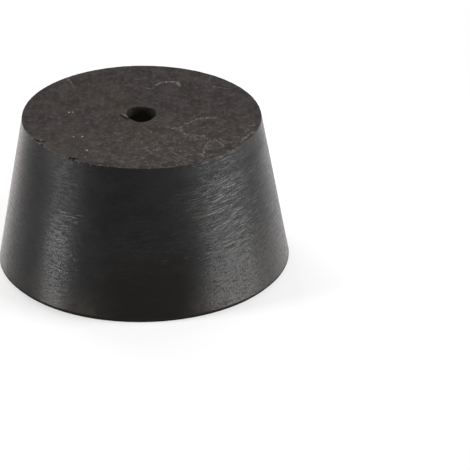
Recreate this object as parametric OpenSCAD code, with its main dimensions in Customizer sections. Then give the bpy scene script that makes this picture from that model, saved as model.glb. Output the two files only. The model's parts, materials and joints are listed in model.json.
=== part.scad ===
// One-hole rubber stopper for a laboratory flask.
// A solid tapered plug, moulded in one piece, standing on its wide end.
// Origin at the centre of the wide face, +Z up to the narrow face, millimetres.

/* [Plug] */
// Largest diameter, just above the bevel of the wide rim
wide_d = 50; // [44:0.5:70]
// Diameter of the narrow end, to the corner before it is rounded
narrow_d = 41.5; // [36:0.5:60]
// Height from the wide face to the narrow face
plug_h = 27; // [18:0.5:45]

/* [Rims] */
// Width and height of the bevel round the wide rim
wide_bevel = 0.6; // [0.2:0.1:2]
// Radius of the rounded narrow rim
narrow_round = 0.5; // [0.2:0.1:2]

/* [Bore] */
// Diameter of the hole through the middle
bore_d = 5; // [3:0.1:9]
// Width and height of the broken edge at each mouth of the hole
mouth_break = 0.3; // [0.1:0.1:0.8]

/* [Size number] */
// Height of the two sunk digits
digit_h = 6.5; // [6:0.1:8]
// Width of the nought
nought_w = 5.6; // [4:0.1:6]
// Width of the foot of the one
foot_w = 4.8; // [3:0.1:6]
// Length of the flag of the one
flag_l = 2; // [1:0.1:3]
// Angle at which the flag drops from level
flag_drop = 30; // [10:5:60]
// Gap between the foot of the one and the nought
digit_gap = 2; // [1:0.1:4]
// Width of the sunk line
line_w = 0.5; // [0.3:0.1:0.8]
// Depth of the sunk line
line_depth = 0.3; // [0.1:0.1:0.8]
// Gap from the edge of the wide face to the tops of the digits
rim_gap = 5.5; // [4:0.1:7]

/* [Hidden] */
$fn = 96;

wide_r = wide_d / 2;
narrow_r = narrow_d / 2;
bore_r = bore_d / 2;
wide_face_r = wide_r - wide_bevel;

// Lean of the side from upright
lean = atan((wide_r - narrow_r) / (plug_h - wide_bevel));
// Middle of the narrow rim's round, which touches the side and the narrow face
round_z = plug_h - narrow_round;
round_x = side_r(round_z) - narrow_round / cos(lean);

// Distance of the digits' feet from the axis, and width over both digits
feet_y = wide_face_r - rim_gap - digit_h;
number_w = foot_w + digit_gap + nought_w;

// How far each cut runs past the face that it opens
past = 1;

// Radius of the side at height z
function side_r(z) = wide_r - (z - wide_bevel) * tan(lean);

// Half of the plug's upright section, from the axis outwards
module half_section() {
    polygon([
        [0, 0],
        [wide_face_r, 0],
        [wide_r, wide_bevel],
        [round_x + narrow_round * cos(lean), round_z + narrow_round * sin(lean)],
        [round_x, plug_h],
        [0, plug_h]
    ]);
    translate([round_x, round_z])
        circle(r = narrow_round);
}

// Solid plug, before the hole and the number are taken out
module plug() {
    rotate_extrude()
        half_section();
}

// Broken edge at one mouth of the hole, which opens downwards at z = 0
module mouth() {
    translate([0, 0, -past])
        cylinder(r1 = bore_r + mouth_break + past, r2 = bore_r, h = mouth_break + past);
}

// Hole along the axis, with both of its mouths
module bore() {
    translate([0, 0, -past])
        cylinder(r = bore_r, h = plug_h + 2 * past);
    mouth();
    translate([0, 0, plug_h])
        mirror([0, 0, 1])
            mouth();
}

// Upright slot with round ends, its lower left corner at the origin
module slot(w, h) {
    translate([0, w / 2])
        square([w, h - w]);
    for (y = [w / 2, h - w / 2])
        translate([w / 2, y])
            circle(d = w);
}

// Figure one: a foot, a stem and a slanting flag
module one() {
    stem_x = (foot_w - line_w) / 2;
    square([foot_w, line_w]);
    translate([stem_x, 0])
        square([line_w, digit_h]);
    translate([stem_x, digit_h])
        rotate(180 + flag_drop)
            square([flag_l, line_w]);
}

// Figure nought: the line between two slots
module nought() {
    difference() {
        slot(nought_w, digit_h);
        translate([line_w, line_w])
            slot(nought_w - 2 * line_w, digit_h - 2 * line_w);
    }
}

// Size number, sunk into the wide face and read from below
module size_number() {
    mirror([1, 0, 0])
        translate([-number_w / 2, feet_y, -past])
            linear_extrude(past + line_depth) {
                one();
                translate([foot_w + digit_gap, 0])
                    nought();
            }
}

module stopper() {
    color([0.16, 0.155, 0.15])
        difference() {
            plug();
            bore();
            size_number();
        }
}

stopper();
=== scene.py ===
"""Looks of a one-hole rubber stopper, worn and scuffed, standing on its wide end.

One closed mesh stands for the CAD solid. The CAD part and record give its sizes, and the wear that the
CAD leaves out is added here, such as the ragged rim, the torn mouth of the bore and the ground-off side.
Millimetres are used until the mesh is made, and metres after that.
Left and right are as the camera sees them: it looks along +Y, with +X to its right.
"""

import json
import math

import bpy
import numpy as np
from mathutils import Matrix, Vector, noise


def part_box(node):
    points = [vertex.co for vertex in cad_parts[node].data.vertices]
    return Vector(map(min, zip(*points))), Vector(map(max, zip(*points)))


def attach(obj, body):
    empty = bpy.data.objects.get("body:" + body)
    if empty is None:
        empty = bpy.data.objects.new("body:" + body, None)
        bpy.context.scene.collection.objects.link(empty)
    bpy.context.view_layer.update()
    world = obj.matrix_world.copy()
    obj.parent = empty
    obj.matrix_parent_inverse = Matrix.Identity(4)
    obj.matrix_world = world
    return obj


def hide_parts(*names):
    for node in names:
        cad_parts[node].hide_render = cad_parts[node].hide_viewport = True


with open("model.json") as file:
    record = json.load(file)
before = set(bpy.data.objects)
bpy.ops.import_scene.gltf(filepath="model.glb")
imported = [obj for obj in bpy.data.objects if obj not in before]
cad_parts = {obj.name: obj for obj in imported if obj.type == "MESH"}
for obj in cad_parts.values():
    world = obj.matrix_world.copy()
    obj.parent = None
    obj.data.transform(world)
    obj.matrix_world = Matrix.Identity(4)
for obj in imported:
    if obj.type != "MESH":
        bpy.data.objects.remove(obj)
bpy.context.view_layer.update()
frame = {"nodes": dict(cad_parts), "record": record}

MM = 0.001

# ---------------------------------------------------------------- sizes from the CAD part, in mm

low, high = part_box("stopper")
PLUG_H = (high.z - low.z) / MM
WIDE_R = (high.x - low.x) / 2 / MM

cad_points = np.array([v.co for v in frame["nodes"]["stopper"].data.vertices]) / MM
cad_radii = np.hypot(cad_points[:, 0], cad_points[:, 1])
NARROW_FLAT_R = cad_radii[cad_points[:, 2] > PLUG_H - 0.001].max()
WIDE_FLAT_R = cad_radii[cad_points[:, 2] < 0.001].max()
WIDE_BEVEL = WIDE_R - WIDE_FLAT_R

mounts = {m["name"]: m for m in frame["record"]["mounts"]}
BORE_R = mounts["bore"]["dims"]["r_mm"]
MOUTH_BREAK = (PLUG_H - mounts["bore"]["dims"]["length_mm"]) / 2

# Sunk size number, as in the CAD part: seen from below, with its top towards +Y
DIGIT_FEET_Y = 12.4
DIGIT_H = 6.5
LINE_W = 0.5
LINE_DEPTH = 0.3
ONE_X = 3.8
ONE_FOOT_W = 4.8
ONE_FLAG = (1.6, 0.9)
NOUGHT_X = -3.4
NOUGHT_W = 5.6

# Worn from the CAD part's sizes: the narrow end's rim is sharper, and its face isn't quite level
NARROW_R = NARROW_FLAT_R + 0.15  # where the side and the face would meet without the round
NARROW_ROUND = 0.12
FACE_DROP = 0.18  # at its middle
FACE_SLOPE = 0.0095  # down to the right
NARROW_MOUTH_BREAK = 0.08
DULL_EDGE_H = WIDE_BEVEL + 0.25  # the side is dull and dark up to here

# Share of its radius that the side has lost at the narrow end, at the front left
GROUND_OFF = 0.016
# Tears in the narrow face, seen from above: a nick in the rim, and a slit by the bore with a raised flap
NICK = [(-12.0, -16.1), (-10.4, -17.0)]
NICK_DEPTH = 0.2
SLIT = [(-3.5, 0.25), (-3.0, -0.35), (-2.3, -1.15)]
SLIT_DEPTH = 0.35
FLAP = [(-3.2, 0.3), (-2.7, -0.3)]
FLAP_H = 0.05

# The bore's mouth in the narrow face, pulled out of round: (degrees round from the front, mm from the axis)
MOUTH = [
    (-180, 3.6),
    (-154, 3.8),
    (-135, 3.5),
    (-118, 2.95),
    (-85, 2.3),
    (-55, 2.1),
    (-35, 2.2),
    (-5, 2.4),
    (28, 2.2),
    (60, 2.0),
    (85, 2.3),
    (112, 2.65),
    (140, 3.35),
    (158, 3.6),
    (180, 3.6),
]
MOUTH_DEPTH = 6  # how far down the bore the pull reaches

# ---------------------------------------------------------------- mesh

SEGMENTS = 480
FRONT_CROWDING = 0.45  # segments are closer together at the front, where the rim is ragged

NARROW, SIDE, BEVEL, WIDE, BORE, NUMBER = range(6)


def section():
    """The stopper's section, a closed run of corners: (radius, height, round, spacing, zone).

    Spacing and zone belong to the straight run that follows the corner.
    """
    return [
        (BORE_R, MOUTH_BREAK, 0.1, 0.1, BORE),
        (BORE_R + MOUTH_BREAK, 0, 0.1, 1.2, WIDE),
        (WIDE_FLAT_R, 0, 0.12, 0.2, BEVEL),
        (WIDE_R, WIDE_BEVEL, 0.15, 0.2, BEVEL),
        (side_r(DULL_EDGE_H), DULL_EDGE_H, 0, 0.7, SIDE),
        (side_r(PLUG_H - 2.5), PLUG_H - 2.5, 0, 0.2, SIDE),
        (side_r(PLUG_H), PLUG_H, NARROW_ROUND, 0.15, NARROW),
        (NARROW_R - 2, PLUG_H, 0, 0.5, NARROW),
        (BORE_R + 1.7, PLUG_H, 0, 0.12, NARROW),
        (BORE_R + NARROW_MOUTH_BREAK, PLUG_H, 0.05, 0.1, NARROW),
        (BORE_R, PLUG_H - NARROW_MOUTH_BREAK, 0.05, 1.3, BORE),
    ]


def side_r(z):
    """Radius of the straight side at height z."""
    share = (z - WIDE_BEVEL) / (PLUG_H - WIDE_BEVEL)
    return WIDE_R + share * (NARROW_R - WIDE_R)


def rounded(before, corner, after, radius, steps=6):
    """Points on the round that takes off a corner of the section."""
    corner = Vector(corner)
    back, on = (Vector(before) - corner).normalized(), (Vector(after) - corner).normalized()
    half = back.angle(on) / 2
    centre = corner + (back + on).normalized() * radius / math.sin(half)
    first = corner + back * radius / math.tan(half) - centre
    last = corner + on * radius / math.tan(half) - centre
    turn = first.angle(last)
    shares = [i / steps for i in range(steps + 1)]
    return [
        centre + (first * math.sin((1 - s) * turn) + last * math.sin(s * turn)) / math.sin(turn)
        for s in shares
    ]


def rings():
    """Radius and height of each ring of vertices, and the zone of the faces that follow it."""
    corners = section()
    places, zones, arcs = [], [], []
    for i, (r, z, radius, _, _) in enumerate(corners):
        before, after = corners[i - 1][:2], corners[(i + 1) % len(corners)][:2]
        arcs.append(rounded(before, (r, z), after, radius) if radius else [Vector((r, z))])
    for i, arc in enumerate(arcs):
        spacing, zone = corners[i][3:]
        places += arc[:-1]
        zones += [zone] * (len(arc) - 1)
        start, end = arc[-1], arcs[(i + 1) % len(arcs)][0]
        count = max(1, round((end - start).length / spacing))
        places += [start.lerp(end, k / count) for k in range(count)]
        zones += [zone] * count
    return np.array(places), np.array(zones)


def lumps(points, size, seed=0):
    """Smooth noise from -1 to 1 at each point, with lumps of about that size in mm."""
    shift = Vector((17.3, -9.1, 5.7)) * seed
    return np.array([noise.noise(Vector(p) / size + shift) for p in points])


def smooth(value, start, end):
    """0 below start, 1 above end and an even curve between, or the reverse if start is the larger."""
    t = np.clip((value - start) / (end - start), 0, 1)
    return t * t * (3 - 2 * t)


def gap_to(points, path):
    """Distance of each point from a line through the points of path, seen from above."""
    flat = points[:, :2]
    nearest = np.full(len(flat), np.inf)
    for start, end in zip(np.array(path[:-1], float), np.array(path[1:], float)):
        along = end - start
        share = np.clip((flat - start) @ along / (along @ along), 0, 1)
        gap = np.linalg.norm(flat - start - share[:, None] * along, axis=1)
        nearest = np.minimum(nearest, gap)
    return nearest


def worn(points, inwards):
    """The points moved to where dents, wear and tears leave them, within the CAD part's box."""
    x, y, z = points.T
    around = np.degrees(np.arctan2(x, -y))
    radius = np.hypot(x, y)
    top = smooth(z, PLUG_H - 0.9, PLUG_H - 0.5)
    at_rim = smooth(np.hypot(radius - NARROW_R, z - PLUG_H), 0.7, 0.15)
    at_front = smooth(around, -38, -31) * smooth(around, 32, 24)

    dent = 0.025 + 0.025 * lumps(points, 11)
    dent *= smooth(z, 0.2, 3)
    points = points + inwards * dent[:, None] * (1, 1, 0.4)
    points[:, 2] -= (FACE_DROP + FACE_SLOPE * x) * z / PLUG_H
    front_left = smooth(around, -80, -45) * smooth(around, 25, -10) * smooth(radius, 10, 20)
    points[:, :2] *= 1 - GROUND_OFF * (front_left * smooth(z, 8, PLUG_H))[:, None]

    ragged = 0.5 + 0.6 * lumps(points, 0.9, 1) + 0.6 * lumps(points, 0.45, 2)
    ragged = np.clip(ragged, 0, 1.3) * at_rim * (0.04 + 0.14 * at_front)
    points = points + inwards * ragged[:, None]

    nick = smooth(gap_to(points, NICK), 0.45, 0.1)
    points[:, 2] -= NICK_DEPTH * nick * at_rim

    mouth = smooth(z, PLUG_H - MOUTH_DEPTH, PLUG_H) * smooth(radius, BORE_R + 2, BORE_R + 0.2)
    stretch = np.interp(around, *zip(*MOUTH)) / BORE_R - 1
    points[:, :2] *= 1 + (stretch * mouth * BORE_R / radius)[:, None]

    slit = smooth(gap_to(points, SLIT), 0.26, 0.08)
    flap = smooth(gap_to(points, FLAP), 0.22, 0.05)
    points[:, 2] -= top * (SLIT_DEPTH * slit - FLAP_H * flap)
    return points


def plug_mesh():
    """The whole stopper but its number, as rings of vertices round the bore, closed on themselves."""
    section_points, zones = rings()
    u = np.linspace(-math.pi, math.pi, SEGMENTS, endpoint=False)
    angle = u - FRONT_CROWDING * np.sin(u)
    count = len(section_points)
    r, z = section_points.T
    steps = np.roll(section_points, -1, 0) - np.roll(section_points, 1, 0)
    steps /= np.linalg.norm(steps, axis=1)[:, None]
    out = np.stack([np.sin(angle), -np.cos(angle)], 1)
    points = np.empty((count, SEGMENTS, 3))
    points[..., :2] = r[:, None, None] * out
    points[..., 2] = z[:, None]
    inwards = np.empty_like(points)
    inwards[..., :2] = -steps[:, 1][:, None, None] * out
    inwards[..., 2] = steps[:, 0][:, None]
    places = worn(points.reshape(-1, 3), inwards.reshape(-1, 3))

    ring, step = np.meshgrid(np.arange(count), np.arange(SEGMENTS), indexing="ij")
    next_ring, next_step = (ring + 1) % count, (step + 1) % SEGMENTS
    faces = np.stack(
        [
            ring * SEGMENTS + step,
            ring * SEGMENTS + next_step,
            next_ring * SEGMENTS + next_step,
            next_ring * SEGMENTS + step,
        ],
        -1,
    )
    mesh = bpy.data.meshes.new("stopper_body")
    mesh.from_pydata((places * MM).tolist(), [], faces.reshape(-1, 4).tolist())
    for make in MATERIALS:
        mesh.materials.append(make())
    mesh.polygons.foreach_set("material_index", np.repeat(zones, SEGMENTS).astype(np.int32))
    return mesh


def groove(path, closed, name):
    """A cutter for one line of the number: half a round bar along path, sunk to the line's depth."""
    around, half = 20, LINE_W / 2
    turn = [2 * math.pi * k / around for k in range(around)]
    path = [Vector((x, y, 0)) for x, y in path]
    verts, faces = [], []
    for i, place in enumerate(path):
        before = path[i - 1] if closed or i else place
        after = path[(i + 1) % len(path)] if closed or i < len(path) - 1 else place
        along = (after - before).normalized()
        across = Vector((-along.y, along.x, 0))
        verts += [
            place + across * half * math.cos(t) + Vector((0, 0, LINE_DEPTH * math.sin(t)))
            for t in turn
        ]
    for i in range(len(path) if closed else len(path) - 1):
        a, b = i * around, (i + 1) % len(path) * around
        for k in range(around):
            n = (k + 1) % around
            faces.append((a + k, a + n, b + n, b + k))
    if not closed:
        faces.append(tuple(range(around))[::-1])
        faces.append(tuple(range(len(verts) - around, len(verts))))
    mesh = bpy.data.meshes.new(name)
    mesh.from_pydata([v * MM for v in verts], [], faces)
    cutter = bpy.data.objects.new(name, mesh)
    bpy.context.scene.collection.objects.link(cutter)
    return cutter


def oval(x, y, width, height, points=72):
    """Points round a nought: two half circles joined by straight sides."""
    radius = width / 2
    straight = height / 2 - radius
    found = []
    for k in range(points):
        t = 2 * math.pi * (k + 0.5) / points
        lift = straight if math.sin(t) > 0 else -straight
        found.append((x + radius * math.cos(t), y + lift + radius * math.sin(t)))
    return found


def number_cutters():
    """The lines of a 10, each cut on its own."""
    half = LINE_W / 2
    foot_y, head_y = DIGIT_FEET_Y + half, DIGIT_FEET_Y + DIGIT_H - half
    foot_half = ONE_FOOT_W / 2
    flag_end = (ONE_X + ONE_FLAG[0], head_y - ONE_FLAG[1])
    middle_y = DIGIT_FEET_Y + DIGIT_H / 2
    return [
        groove([(ONE_X - foot_half, foot_y), (ONE_X + foot_half, foot_y)], False, "foot"),
        groove([(ONE_X, foot_y), (ONE_X, head_y + half)], False, "stem"),
        groove([(ONE_X, head_y), flag_end], False, "flag"),
        groove(oval(NOUGHT_X, middle_y, NOUGHT_W - LINE_W, DIGIT_H - LINE_W), True, "nought"),
    ]


def cut(obj, cutters):
    """Takes each cutter out of the object, and removes the cutters."""
    for cutter in cutters:
        boolean = obj.modifiers.new(cutter.name, "BOOLEAN")
        boolean.operation = "DIFFERENCE"
        boolean.solver = "EXACT"
        boolean.object = cutter
    graph = bpy.context.evaluated_depsgraph_get()
    mesh = bpy.data.meshes.new_from_object(obj.evaluated_get(graph))
    obj.modifiers.clear()
    obj.data = mesh
    for cutter in cutters:
        bpy.data.objects.remove(cutter)


def mark_number(mesh):
    """Gives the faces inside the sunk number their own zone."""
    for face in mesh.polygons:
        x, y, z = face.center / MM
        in_number = 0.01 < z < LINE_DEPTH + 0.01 and math.hypot(x, y) > BORE_R + 1
        if in_number and math.hypot(x, y) < WIDE_FLAT_R - 1:
            face.material_index = NUMBER


# ---------------------------------------------------------------- UV map for baking

SHEET = 111.0  # side of the square that the whole surface is laid out on, in mm


def lay_out(mesh):
    """A UV map with both faces as discs and the side and bore unrolled, all at one scale."""
    corners = np.empty(len(mesh.loops), np.int32)
    mesh.loops.foreach_get("vertex_index", corners)
    places = np.empty(len(mesh.vertices) * 3, np.float32)
    mesh.vertices.foreach_get("co", places)
    places = places.reshape(-1, 3)[corners] / MM
    starts = np.empty(len(mesh.polygons), np.int32)
    mesh.polygons.foreach_get("loop_start", starts)
    zones = np.empty(len(mesh.polygons), np.int32)
    mesh.polygons.foreach_get("material_index", zones)
    totals = np.diff(np.append(starts, len(corners)))
    middle = np.add.reduceat(places, starts) / totals[:, None]
    middle, zone = np.repeat(middle, totals, 0), np.repeat(zones, totals)

    x, y, z = places.T
    around = np.arctan2(x, -y)
    middle_around = np.arctan2(middle[:, 0], -middle[:, 1])
    uv = np.zeros((len(corners), 2))

    narrow = zone == NARROW
    uv[narrow] = np.stack([75 + x, 22.7 + y], 1)[narrow]
    wide = np.isin(zone, (WIDE, BEVEL, NUMBER))
    spread = 1 + z * (zone == BEVEL) / WIDE_R
    uv[wide] = np.stack([27 + x * spread, 27 + y * spread], 1)[wide]
    back = np.abs(middle_around) > math.pi / 2
    for chosen, centre, row in ((~back, 0.0, 54.2), (back, math.pi, 82.6)):
        turned = np.remainder(around - centre + math.pi, 2 * math.pi) - math.pi
        strip = (zone == SIDE) & chosen
        uv[strip] = np.stack([41.5 + turned * WIDE_R, row + z], 1)[strip]
    bore = zone == BORE
    behind = np.remainder(around - middle_around + math.pi, 2 * math.pi) - math.pi + middle_around
    uv[bore] = np.stack([101 + behind * BORE_R, 54.2 + z + 0.5 * (z > 1)], 1)[bore]
    layer = mesh.uv_layers.new(name="OFBake")
    layer.uv.foreach_set("vector", (uv / SHEET).astype(np.float32).ravel())


# ---------------------------------------------------------------- materials


class Graph:
    """The nodes of one material. Each method adds a node and returns its output."""

    def __init__(self, name):
        self.material = bpy.data.materials.new(name)
        self.material.use_nodes = True
        self.nodes = self.material.node_tree.nodes
        self.links = self.material.node_tree.links
        self.nodes.clear()

    def add(self, kind, inputs=None, **settings):
        node = self.nodes.new("ShaderNode" + kind)
        for key, value in settings.items():
            setattr(node, key, value)
        for socket, value in (inputs or {}).items():
            if isinstance(value, bpy.types.NodeSocket):
                self.links.new(value, node.inputs[socket])
            else:
                node.inputs[socket].default_value = value
        return node

    def place(self):
        """Where a point is on the stopper, in mm."""
        coordinates = self.add("TexCoord").outputs["Object"]
        return self.vector("SCALE", {0: coordinates, "Scale": 1 / MM})

    def vector(self, operation, inputs):
        node = self.add("VectorMath", inputs, operation=operation)
        scalar = operation in ("DOT_PRODUCT", "DISTANCE", "LENGTH")
        return node.outputs["Value" if scalar else "Vector"]

    def math(self, operation, a, b=0.0, clamp=False):
        return self.add("Math", {0: a, 1: b}, operation=operation, use_clamp=clamp).outputs[0]

    def times(self, first, *others):
        for other in others:
            first = self.math("MULTIPLY", first, other)
        return first

    def plus(self, first, *others):
        for other in others:
            first = self.math("ADD", first, other)
        return first

    def most(self, first, *others):
        for other in others:
            first = self.math("MAXIMUM", first, other)
        return first

    def ramp(self, value, start, end, low=0.0, high=1.0):
        """Low where value is at start or before, high from end on, with an even curve between."""
        inputs = {"Value": value, "From Min": start, "From Max": end, "To Min": low, "To Max": high}
        return self.add("MapRange", inputs, interpolation_type="SMOOTHSTEP").outputs["Result"]

    def sized(self, where, x, y, z):
        """The place measured in steps of x, y and z mm, for lumps that are longer one way."""
        return self.vector("DIVIDE", {0: where, 1: (x, y, z)})

    def turned(self, where, degrees):
        """The place turned about the line of sight, so that level streaks rise to the right."""
        inputs = {"Vector": where, "Angle": math.radians(degrees)}
        return self.add("VectorRotate", inputs, rotation_type="Y_AXIS").outputs["Vector"]

    def noise(self, where, size=1.0, detail=2.0, roughness=0.5):
        inputs = {"Vector": where, "Scale": 1 / size, "Detail": detail, "Roughness": roughness}
        return self.add("TexNoise", inputs).outputs["Fac"]

    def warped(self, where, size, amount):
        """The place pushed about by noise, by up to about half of amount in mm."""
        inputs = {"Vector": where, "Scale": 1 / size, "Detail": 2.0}
        push = self.vector("SUBTRACT", {0: self.add("TexNoise", inputs).outputs["Color"], 1: (0.5,) * 3})
        return self.vector("ADD", {0: where, 1: self.vector("SCALE", {0: push, "Scale": amount})})

    def specks(self, where, spacing, radius, share):
        """Small round spots: share is how many of the cells, spacing mm apart, hold one."""
        cells = self.add("TexVoronoi", {"Vector": where, "Scale": 1 / spacing})
        chance = self.add("SeparateColor", {"Color": cells.outputs["Color"]})
        size = self.times(chance.outputs["Green"], radius / spacing)
        inside = self.math("LESS_THAN", cells.outputs["Distance"], size)
        kept = self.math("LESS_THAN", chance.outputs["Red"], share)
        return self.times(inside, kept, chance.outputs["Blue"])

    def spot(self, where, centre, width):
        """1 at the centre of a round spot, and 0 from half its width away."""
        centre = tuple(centre) + (0.0,) * (3 - len(centre))
        return self.ramp(self.vector("DISTANCE", {0: where, 1: centre}), width / 2, 0)

    def within(self, value, start, end, fade):
        """1 where value lies between start and end, fading to 0 over a band across each of them."""
        off_middle = self.math("ABSOLUTE", self.math("SUBTRACT", value, (start + end) / 2))
        half = abs(end - start) / 2
        return self.ramp(off_middle, half + fade / 2, half - fade / 2)

    def stroke(self, x, y, path, width):
        """1 on a smooth line through the points of path, and 0 from half its width away."""
        path = np.array(path, float)
        if np.ptp(path[:, 1]) > np.ptp(path[:, 0]):
            x, y, path = y, x, path[:, ::-1]
        path = path[path[:, 0].argsort()]
        low, span = path.min(0), np.maximum(np.ptp(path, 0), 0.01)
        start = {"Value": x, "From Min": low[0], "From Max": low[0] + span[0]}
        curve = self.add("FloatCurve", {"Value": self.add("MapRange", start).outputs["Result"]})
        points = curve.mapping.curves[0].points
        for _ in path[2:]:
            points.new(0.5, 0.5)
        for point, place in zip(points, (path - low) / span):
            point.location = place
        curve.mapping.update()
        line = self.plus(self.times(curve.outputs["Value"], span[1]), low[1])
        gap = self.math("ABSOLUTE", self.math("SUBTRACT", y, line))
        ends = self.within(x, low[0], low[0] + span[0], width / 2)
        return self.times(self.ramp(gap, width / 2, 0), ends)

    def split(self, where):
        return self.add("SeparateXYZ", {"Vector": where}).outputs[:]

    def mix(self, amount, first, second):
        """First where amount is 0 and second where it is 1; both are colours."""
        inputs = {"Factor": amount, 6: first, 7: second}
        return self.add("Mix", inputs, data_type="RGBA").outputs[2]

    def finish(self, colour, roughness, height, depth, ior, upright_spread=0.0):
        """Ends the material: height is 0 to 1, and depth is what 1 stands for in mm."""
        bump = self.add("Bump", {"Height": height, "Distance": depth * MM, "Strength": 1.0})
        inputs = {
            "Base Color": colour,
            "Roughness": roughness,
            "IOR": ior,
            "Normal": bump.outputs["Normal"],
            "Anisotropic": upright_spread,
            "Anisotropic Rotation": 0.25,
        }
        shader = self.add("BsdfPrincipled", inputs)
        self.add("OutputMaterial", {"Surface": shader.outputs["BSDF"]})
        return self.material


def rgb(red, green, blue):
    return (red, green, blue, 1.0)


# Marks on the narrow face, in mm: (strength, width, points). Each runs mainly along or across.
SCUFFS = [
    (0.7, 1.5, [(0.2, 11.3), (0.9, 11.1), (1.8, 11.0)]),
    (0.85, 1.1, [(1.6, 11.0), (2.6, 12.7), (4.1, 13.6), (5.8, 13.9)]),
    (1.0, 1.2, [(5.7, 13.9), (6.1, 13.2), (6.5, 12.0)]),
    (0.7, 1.0, [(-13.2, 15.3), (-12.4, 13.5), (-11.8, 11.2)]),
    (0.6, 1.6, [(-16.3, 7.8), (-15.6, 6.8)]),
    (0.8, 1.0, [(7.0, -3.2), (8.4, -2.2), (9.6, -1.2), (12.7, -0.8)]),
    (0.5, 0.9, [(12.7, -0.8), (14.4, 1.5), (17.5, 4.8)]),
    (0.8, 1.8, [(5.0, -4.6), (6.4, -5.0), (7.0, -5.6)]),
    (0.8, 1.3, [(6.9, -3.8), (6.7, -5.0), (7.2, -6.4)]),
    (0.8, 1.1, [(6.9, -6.0), (7.7, -7.0), (9.8, -7.8), (11.3, -8.9)]),
    (0.8, 1.0, [(11.3, -8.9), (12.3, -8.9), (13.2, -10.0), (14.2, -12.2)]),
    (0.8, 0.9, [(11.8, -9.2), (10.8, -12.2), (10.4, -16.3)]),
    (0.8, 2.0, [(18.2, -4.2), (19.5, -3.3)]),
    (0.85, 1.2, [(17.2, -9.4), (18.0, -7.8), (19.5, -6.0)]),
    (0.75, 1.2, [(17.0, 5.2), (17.5, 4.8)]),
    (0.65, 1.2, [(11.5, 12.0), (12.4, 11.5), (15.0, 10.9)]),
    (0.6, 1.2, [(10.0, 16.3), (12.5, 15.5)]),
    (0.75, 1.3, [(5.6, -14.4), (6.6, -15.4), (7.4, -16.3)]),
    (0.6, 0.8, [(1.5, -9.8), (2.3, -10.8), (3.8, -12.1), (5.8, -14.4)]),
    (0.65, 1.9, [(0.4, -13.2), (0.9, -11.7)]),
    (0.9, 0.8, [(-17.5, -8.7), (-16.8, -9.7)]),
    (0.8, 0.7, [(-16.8, -10.7), (-16.3, -10.5)]),
    (0.85, 0.7, [(-3.4, 1.2), (-2.8, 0.4), (-2.5, -0.4)]),
]

# Fine dark cracks by the rim and the bore, in mm: (width, points)
CRACKS = [
    (0.7, [(-12.0, -16.0), (-11.2, -16.4), (-10.3, -16.6)]),
    (0.9, [(-17.7, -9.2), (-17.0, -10.3)]),
    (0.8, [(-16.9, -10.2), (-16.2, -9.9)]),
    (0.8, [(-17.0, -10.8), (-16.4, -11.7)]),
    (0.5, [(-3.8, 0.6), (-3.3, 0.0), (-2.6, -1.1)]),
]

# Flecks on the narrow face that shine white, in mm: (width, centre)
FLECKS = [
    (0.45, (-12.4, 1.5)),
    (0.3, (-11.8, 1.5)),
    (0.3, (-11.4, -8.1)),
    (0.4, (-9.9, -8.0)),
    (0.5, (-9.0, -13.3)),
]


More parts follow.
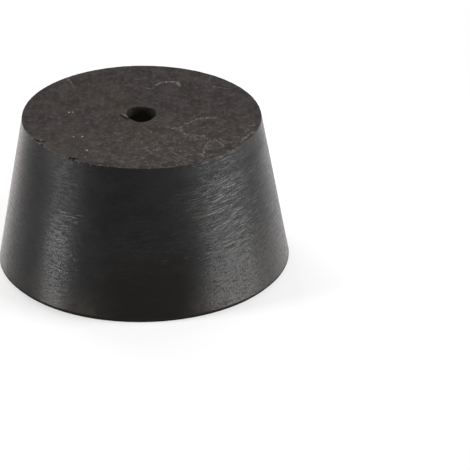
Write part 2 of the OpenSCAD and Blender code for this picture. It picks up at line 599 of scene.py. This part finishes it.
def narrow_face_material():
    """Matt and dusty: mottled grain, olive and purple patches, pale scuffs and white flecks."""
    g = Graph("narrow_face_rubber")
    where = g.place()
    flat = g.vector("MULTIPLY", {0: where, 1: (1, 1, 0)})
    x, y, _ = g.split(flat)
    bent_x, bent_y, _ = g.split(g.warped(g.warped(flat, 2.5, 1.0), 0.6, 1.0))

    far_x, far_y, _ = g.split(g.warped(flat, 5, 8))
    olive = g.stroke(far_x, far_y, [(-9, 13), (-5, 4), (-1, -2), (0, -12)], 14)
    patches = g.math("ADD", olive, g.ramp(g.noise(flat, 5.0, 4), 0.5, 0.7), clamp=True)
    colour = g.mix(patches, rgb(0.0251, 0.0216, 0.0219), rgb(0.029, 0.0246, 0.0203))
    colour = g.mix(g.times(g.spot(flat, (-16, -13), 14), 0.7), colour, rgb(0.037, 0.0352, 0.0327))
    frontal = g.ramp(y, 6, -16)
    colour = g.mix(g.times(frontal, 0.22), colour, rgb(0.0642, 0.0562, 0.0519))
    blotches = g.ramp(g.noise(flat, 3.2, 5, 0.6), 0.4, 0.64)
    colour = g.mix(g.times(blotches, 0.55), colour, rgb(0.058, 0.0506, 0.0482))
    grain = g.noise(g.sized(flat, 0.8, 1.1, 1), 1, 5, 0.75)
    colour = g.mix(g.ramp(grain, 0.45, 0.75, 0.0, 0.8), colour, rgb(0.079, 0.0704, 0.0655))
    pits = g.ramp(g.noise(flat, 0.55, 4, 0.75), 0.45, 0.3)
    colour = g.mix(g.times(pits, 0.4), colour, rgb(0.0124, 0.0111, 0.0111))

    scuffs = g.most(
        *(g.times(g.stroke(bent_x, bent_y, path, width), strength) for strength, width, path in SCUFFS)
    )
    grains = g.noise(g.sized(flat, 0.35, 0.6, 1), 1, 3, 0.8)
    broken = g.ramp(g.plus(g.times(scuffs, 0.8), g.times(grains, 1.8)), 1.25, 1.8)
    scuffs = g.times(broken, g.ramp(scuffs, 0.1, 0.4))
    dusty = g.plus(g.times(frontal, g.ramp(x, -14, 8, 0.3, 1.0)), 0.15)
    dust = g.times(g.specks(g.warped(flat, 0.6, 0.4), 0.55, 0.2, 0.5), dusty)
    haze = g.times(g.ramp(g.noise(flat, 1.2, 4, 0.7), 0.48, 0.7), dusty, 0.3)
    rim = g.ramp(g.vector("LENGTH", {0: flat}), NARROW_R - 0.8, NARROW_R - 0.3)
    rim = g.times(rim, frontal, g.ramp(grain, 0.4, 0.6), g.ramp(x, 9, -3, 0.05, 0.35))
    pale = g.most(g.times(scuffs, 0.8), g.times(dust, 0.65), haze, rim)
    colour = g.mix(pale, colour, rgb(0.1914, 0.1828, 0.1729))
    flecks = g.most(*(g.spot(flat, centre, width) for width, centre in FLECKS))
    colour = g.mix(flecks, colour, rgb(0.6175, 0.5928, 0.5558))
    cracks = g.most(*(g.stroke(bent_x, bent_y, path, width) for width, path in CRACKS))
    colour = g.mix(cracks, colour, rgb(0.0074, 0.0074, 0.0074))

    height = g.plus(g.times(grain, 0.5), g.times(g.noise(flat, 0.2, 2), 0.2), g.times(scuffs, -0.3))
    return g.finish(colour, 0.85, height, 0.06, 1.06)


# Single scratches on the side, seen from the front, in mm: (strength, width, points (x, z))
SCRATCHES = [
    (0.9, 0.35, [(11.0, 17.4), (14.0, 17.4)]),
    (0.4, 0.35, [(8.5, 17.5), (11.0, 17.4)]),
    (0.7, 0.35, [(12.0, 19.3), (13.8, 19.7)]),
    (0.3, 0.4, [(-14.0, 22.4), (-10.5, 22.6)]),
]


def side_material():
    """Ground satin: level grinding lines, finer ones that rise to the right, a scuffed low patch, painted
    sheen at the right front and painted shade low in the middle.
    """
    g = Graph("ground_side_rubber")
    where = g.place()
    x, y, z = g.split(where)
    front = g.ramp(y, 0, -6)
    rightward = g.plus(x, g.times(z, 0.6))
    to_right = g.times(g.ramp(rightward, 15, 25), g.ramp(z, 4, 10), g.ramp(z, 24, 21), front)

    level = g.noise(g.sized(g.turned(where, 3), 1.8, 1.8, 0.28), 1, 4, 0.7)
    rising = g.noise(g.sized(g.turned(where, 5), 2.4, 2.4, 0.16), 1, 4, 0.65)
    grit = g.noise(where, 0.35, 2, 0.6)
    ground = g.mix(to_right, level, rising)
    level_lines = g.times(
        g.ramp(level, 0.53, 0.72),
        g.within(z, 8, 16, 5),
        g.ramp(rightward, 10, 24, 0.1, 0.5),
    )
    rising_lines = g.times(g.ramp(rising, 0.53, 0.68), to_right, g.ramp(x, 21, 14, 0.4, 1.0))
    streaks = g.noise(g.sized(g.turned(where, 10), 1.8, 1.8, 0.25), 1, 3, 0.6)
    streaks = g.times(g.ramp(streaks, 0.5, 0.68), g.within(z, 16.2, 17.6, 0.8), g.within(x, -14.5, -9.5, 2))

    scraped = g.noise(g.warped(g.sized(g.turned(where, 6), 0.7, 0.7, 0.35), 0.8, 1.2), 1, 3, 0.7)
    low_left = g.spot(g.warped(g.sized(where, 1, 1, 1.8), 3, 2), (-13.5, -17.5, 4.4), 13)
    scraped_patch = g.times(g.ramp(scraped, 0.52, 0.66), low_left, front)
    wavy_x, _, wavy_z = g.split(g.warped(where, 1.5, 0.4))
    single = g.most(
        *(g.times(g.stroke(wavy_x, wavy_z, path, width), strength) for strength, width, path in SCRATCHES)
    )
    marks = g.most(
        rising_lines,
        level_lines,
        g.times(streaks, front),
        g.times(scraped_patch, 0.85),
        g.times(single, front),
    )

    tone = g.noise(g.sized(where, 4, 4, 2.5), 1, 4, 0.6)
    colour = g.mix(g.ramp(tone, 0.3, 0.7), rgb(0.0035, 0.0035, 0.0036), rgb(0.0065, 0.0063, 0.006))
    off_centre = g.ramp(g.math("ABSOLUTE", g.plus(x, -1)), 4, 12)
    # Painted shade: the low middle of the front is darkened, standing for the shadowed floor reflected
    # there.
    painted_shade_low_centre = g.times(g.ramp(z, 15, 6), g.ramp(off_centre, 0.7, 0, 0, 0.9))
    colour = g.mix(painted_shade_low_centre, colour, rgb(0.0022, 0.0015, 0.0005))
    brown = g.times(g.ramp(z, 6, 1.5), g.ramp(g.noise(where, 3, 4, 0.6), 0.35, 0.6), off_centre)
    brown = g.times(brown, g.ramp(x, -22, -16, 0.2, 1.0))
    brown = g.most(brown, g.spot(g.warped(where, 2, 2), (-14.6, -19.9, 2.0), 8))
    colour = g.mix(g.times(brown, 0.6), colour, rgb(0.026, 0.0203, 0.0165))
    # Partly pinkish-grey dust and partly a painted highlight: the low right of the front is lifted paler
    # where its highlight lies.
    low_right_dust_and_highlight = g.times(g.ramp(x, 8, 14), g.ramp(z, 13, 4), g.ramp(grit, 0.4, 0.58, 0.3, 1.0), front)
    colour = g.mix(g.times(low_right_dust_and_highlight, 0.9), colour, rgb(0.029, 0.0262, 0.0256))
    rubbed = g.spot(g.warped(where, 2, 1.5), (-15.2, -13.6, 26.5), 10)
    colour = g.mix(g.times(rubbed, 0.2), colour, rgb(0.03, 0.0255, 0.0235))
    # Painted sheen: the right of the front is lifted paler, evenly, where its highlight lies.
    painted_sheen_right = g.times(g.ramp(rightward, 11, 20), front)
    colour = g.mix(g.times(painted_sheen_right, 0.12), colour, rgb(0.024, 0.0228, 0.0226))
    # Painted sheen: a greenish-grey satin band just under the rim at the right front.
    painted_sheen_under_rim = g.times(g.ramp(z, 23.5, 25), g.ramp(x, 2, 12), front)
    colour = g.mix(g.times(painted_sheen_under_rim, 0.2), colour, rgb(0.028, 0.03, 0.029))
    colour = g.mix(marks, colour, rgb(0.057, 0.055, 0.053))

    duller = g.most(
        g.times(g.ramp(z, 10, 19), g.ramp(y, -8, -13), g.ramp(x, 8, 14, 0.19, 0.08)),
        g.times(g.ramp(z, 21.5, 24), g.ramp(x, 2, 10), front, 0.3),
    )
    uneven = g.plus(g.ramp(ground, 0.35, 0.65, 0.14, -0.14), g.ramp(grit, 0.35, 0.65, 0.07, -0.07))
    coarser = g.most(g.times(g.ramp(x, 4, 12), g.ramp(y, -8, -15), 2.1), g.times(low_left, 1.1))
    uneven = g.times(uneven, g.plus(g.ramp(z, 12, 17, 0.9, 0.6), coarser))
    roughness = g.plus(g.ramp(tone, 0.3, 0.7, 0.37, 0.43), g.times(marks, 0.08), duller, uneven)
    roughness = g.most(roughness, 0.3)
    height = g.plus(
        g.times(ground, 1.0),
        g.times(grit, 0.45),
        g.times(scraped, low_left, 1.2),
        g.times(single, -0.5),
    )
    return g.finish(colour, roughness, height, 0.033, 1.25, upright_spread=0.85)


def bevel_material():
    """Dull and dark, with a faint grain."""
    g = Graph("wide_rim_rubber")
    where = g.place()
    grain = g.noise(where, 0.6, 3)
    colour = g.mix(grain, rgb(0.009, 0.0088, 0.0086), rgb(0.014, 0.0137, 0.0133))
    return g.finish(colour, 0.8, grain, 0.02, 1.02)


def wide_face_material():
    """Grey, lifted paler by painted sheen, with fine grinding lines across it."""
    g = Graph("wide_face_rubber")
    where = g.place()
    lines = g.noise(g.sized(where, 0.35, 9, 9), 1, 3, 0.6)
    # The grey is paler than the rubber's own: part of it is painted sheen.
    colour = g.mix(g.ramp(lines, 0.35, 0.65), rgb(0.08, 0.0745, 0.072), rgb(0.1, 0.0925, 0.0895))
    return g.finish(colour, 0.6, lines, 0.015, 1.35)


def bore_material():
    """Dark at the mouth in the narrow face, and paler below it."""
    g = Graph("bore_rubber")
    where = g.place()
    _, _, z = g.split(where)
    grain = g.noise(where, 0.7, 3)
    colour = g.mix(grain, rgb(0.009, 0.0088, 0.0074), rgb(0.015, 0.0144, 0.012))
    colour = g.mix(g.ramp(z, PLUG_H - 0.5, PLUG_H - 3), colour, rgb(0.042, 0.041, 0.034))
    return g.finish(colour, 0.7, grain, 0.04, 1.12)


def number_material():
    """Darker than the face that the number is sunk into."""
    g = Graph("sunk_number_rubber")
    where = g.place()
    grain = g.noise(where, 0.4, 3)
    colour = g.mix(grain, rgb(0.006, 0.006, 0.006), rgb(0.012, 0.012, 0.012))
    return g.finish(colour, 0.8, grain, 0.02, 1.2)


# One for each zone of the mesh, in the order of the zones' numbers
MATERIALS = (
    narrow_face_material,
    side_material,
    bevel_material,
    wide_face_material,
    bore_material,
    number_material,
)

# ---------------------------------------------------------------- the piece

body = bpy.data.objects.new("stopper_body", plug_mesh())
bpy.context.scene.collection.objects.link(body)
cut(body, number_cutters())
mark_number(body.data)
body.data.shade_smooth()
body.data.set_sharp_from_angle(angle=math.radians(40))
lay_out(body.data)
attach(body, "root")
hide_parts("stopper")

# ---------------------------------------------------------------- floor, lights, world and camera

SEEN_RAYS = ("Is Camera Ray", "Is Glossy Ray", "Is Transmission Ray")


def seen_directly(graph):
    """1 for rays that show a surface as it looks, and 0 for those that only carry its light."""
    path = graph.add("LightPath")
    return graph.most(*(path.outputs[name] for name in SEEN_RAYS))


def floor_material():
    """Pale and plain: it takes the object's shadow near it, and is white farther out."""
    g = Graph("pale_floor")
    away = g.vector("LENGTH", {0: g.add("TexCoord").outputs["Object"]})
    far = g.times(g.ramp(away, 0.03, 0.1, 0.5, 1.0), seen_directly(g))
    near = g.add("BsdfDiffuse", {"Color": rgb(0.96, 0.96, 0.96)})
    white = g.add("Emission", {"Color": rgb(1, 1, 1), "Strength": 1.0})
    inputs = {"Fac": far, 1: near.outputs[0], 2: white.outputs[0]}
    g.add("OutputMaterial", {"Surface": g.add("MixShader", inputs).outputs[0]})
    return g.material


def make_floor(half=4.0):
    mesh = bpy.data.meshes.new("floor")
    corners = [(-half, -half, 0), (half, -half, 0), (half, half, 0), (-half, half, 0)]
    mesh.from_pydata(corners, [], [(0, 1, 2, 3)])
    mesh.materials.append(floor_material())
    floor = bpy.data.objects.new("floor", mesh)
    floor.location.z = low.z - 0.00005
    bpy.context.scene.collection.objects.link(floor)


def make_lamp(name, place, target, width, height, radiance, colour=(1, 1, 1)):
    """A soft rectangular lamp that faces the target; radiance is how bright its own surface is."""
    lamp = bpy.data.lights.new(name, "AREA")
    lamp.shape = "RECTANGLE"
    lamp.size, lamp.size_y = width, height
    lamp.energy = radiance * math.pi * width * height
    lamp.color = colour
    obj = bpy.data.objects.new(name, lamp)
    obj.location = place
    obj.rotation_euler = (Vector(target) - Vector(place)).to_track_quat("-Z", "Y").to_euler()
    obj.visible_camera = False
    bpy.context.scene.collection.objects.link(obj)


def make_panel(name, bearing, width, height, radiance, colour=(1, 1, 1), distance=0.6):
    """A lamp that stands upright on the floor; bearing is in degrees from the camera's direction."""
    turn = math.radians(bearing)
    place = (distance * math.sin(turn), -distance * math.cos(turn), height / 2)
    make_lamp(name, place, (0, 0, height / 2), width, height, radiance, colour)


def make_world(fill):
    """White where it is seen, and a weaker fill as light on the object."""
    world = bpy.data.worlds.new("studio")
    bpy.context.scene.world = world
    world.use_nodes = True
    nodes, links = world.node_tree.nodes, world.node_tree.links
    path = nodes.new("ShaderNodeLightPath")
    strength = None
    for name in SEEN_RAYS:
        most = nodes.new("ShaderNodeMath")
        most.operation = "MAXIMUM"
        most.inputs[0].default_value = fill
        if strength is not None:
            links.new(strength, most.inputs[0])
        links.new(path.outputs[name], most.inputs[1])
        strength = most.outputs[0]
    background = nodes["Background"]
    background.inputs["Color"].default_value = rgb(1, 1, 1)
    links.new(strength, background.inputs["Strength"])


def make_camera(aim, distance, elevation, roll, lens):
    camera = bpy.data.cameras.new("camera")
    camera.sensor_width = 36
    camera.lens = lens
    camera.clip_end = 20
    obj = bpy.data.objects.new("camera", camera)
    tilt = math.radians(elevation)
    obj.location = Vector(aim) + distance * Vector((0, -math.cos(tilt), math.sin(tilt)))
    obj.rotation_euler = (math.pi / 2 - tilt, 0, 0)
    obj.rotation_euler.rotate_axis("Z", math.radians(roll))
    bpy.context.scene.collection.objects.link(obj)
    bpy.context.scene.camera = obj


make_floor()
make_panel("left_softbox", -73, 0.2, 0.25, 35.3)
make_panel("right_softbox", 75, 0.47, 0.25, 26)
make_panel("left_rear_panel", -153, 0.5, 0.25, 16, (1.0, 0.93, 0.91))
make_panel("right_rear_panel", 152, 0.5, 0.25, 7.5)
make_lamp("top_softbox", (0, 0, 1.0), (0, 0, 0), 1.2, 1.2, 0.15)
make_world(fill=0.2)
make_camera(aim=(0.01571, 0.00165, 0.00304), distance=0.8, elevation=26.99, roll=-0.55, lens=354.2)
bpy.context.scene.view_settings.view_transform = "Standard"
